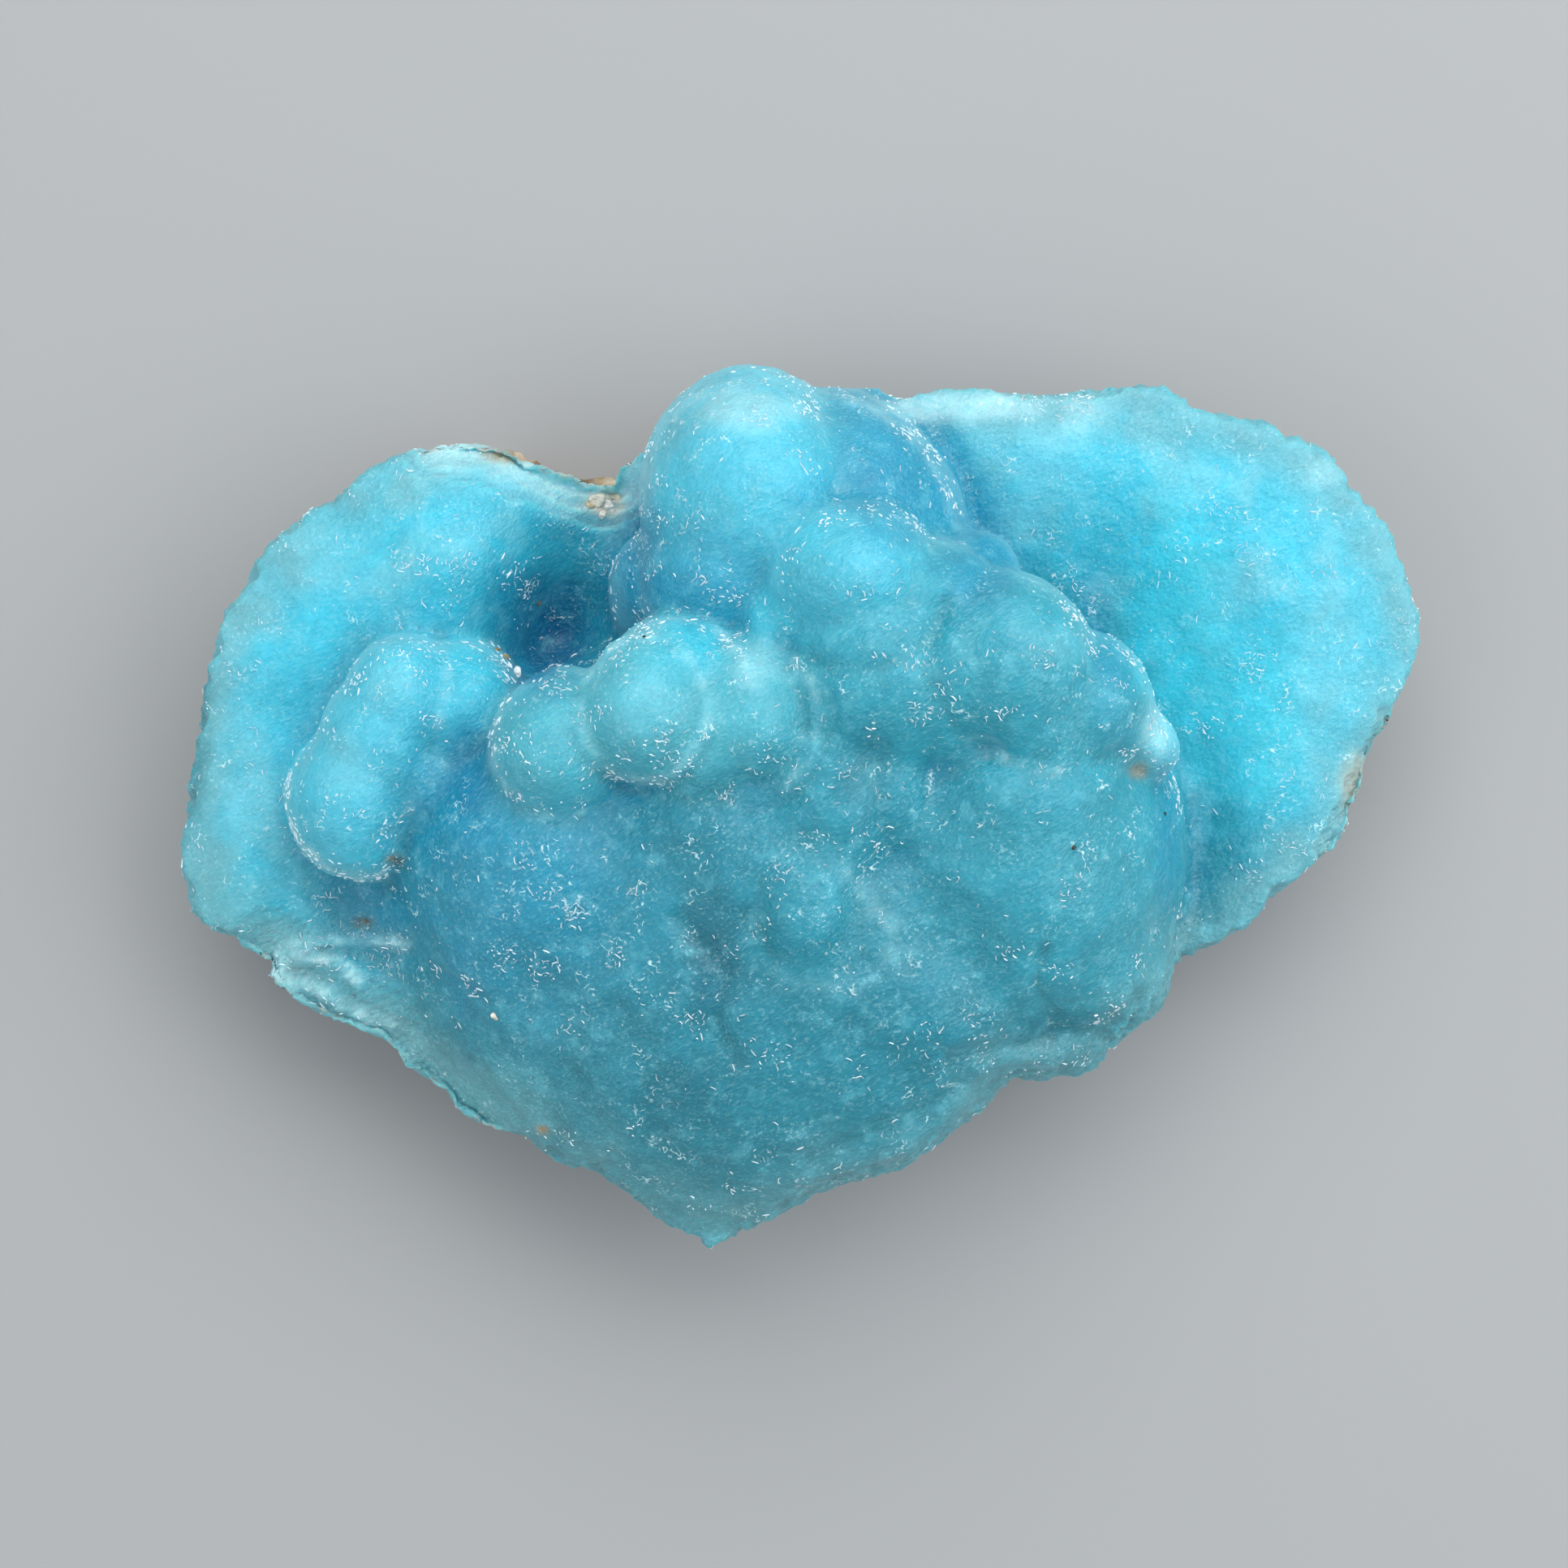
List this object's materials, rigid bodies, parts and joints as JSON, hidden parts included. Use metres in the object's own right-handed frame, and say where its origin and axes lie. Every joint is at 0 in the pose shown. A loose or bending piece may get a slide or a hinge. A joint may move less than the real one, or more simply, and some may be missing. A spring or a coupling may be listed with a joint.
{
  "type": "hemimorphite specimen",
  "caption": "Loose blue botryoidal mineral crust with rounded lobes on a thin, broken sheet, resting on a flat-cut remnant of its matrix.",
  "frame": {"origin": "on the matrix's flat cut, under the middle of the specimen", "axes": "+Z out of the lobed front, away from the cut; +X to the right and +Y to the top edge, seen from the front"},
  "size_m": [0.0712, 0.0504, 0.0236],
  "materials": {
    "blue_crust": "frosted micro-crystalline surface, translucent, pale where it is thin",
    "tan_rock": "rough, matt, granular"
  },
  "bodies": {
    "root": {"hemimorphite": "blue_crust", "matrix": "tan_rock"}
  },
  "joints": []
}
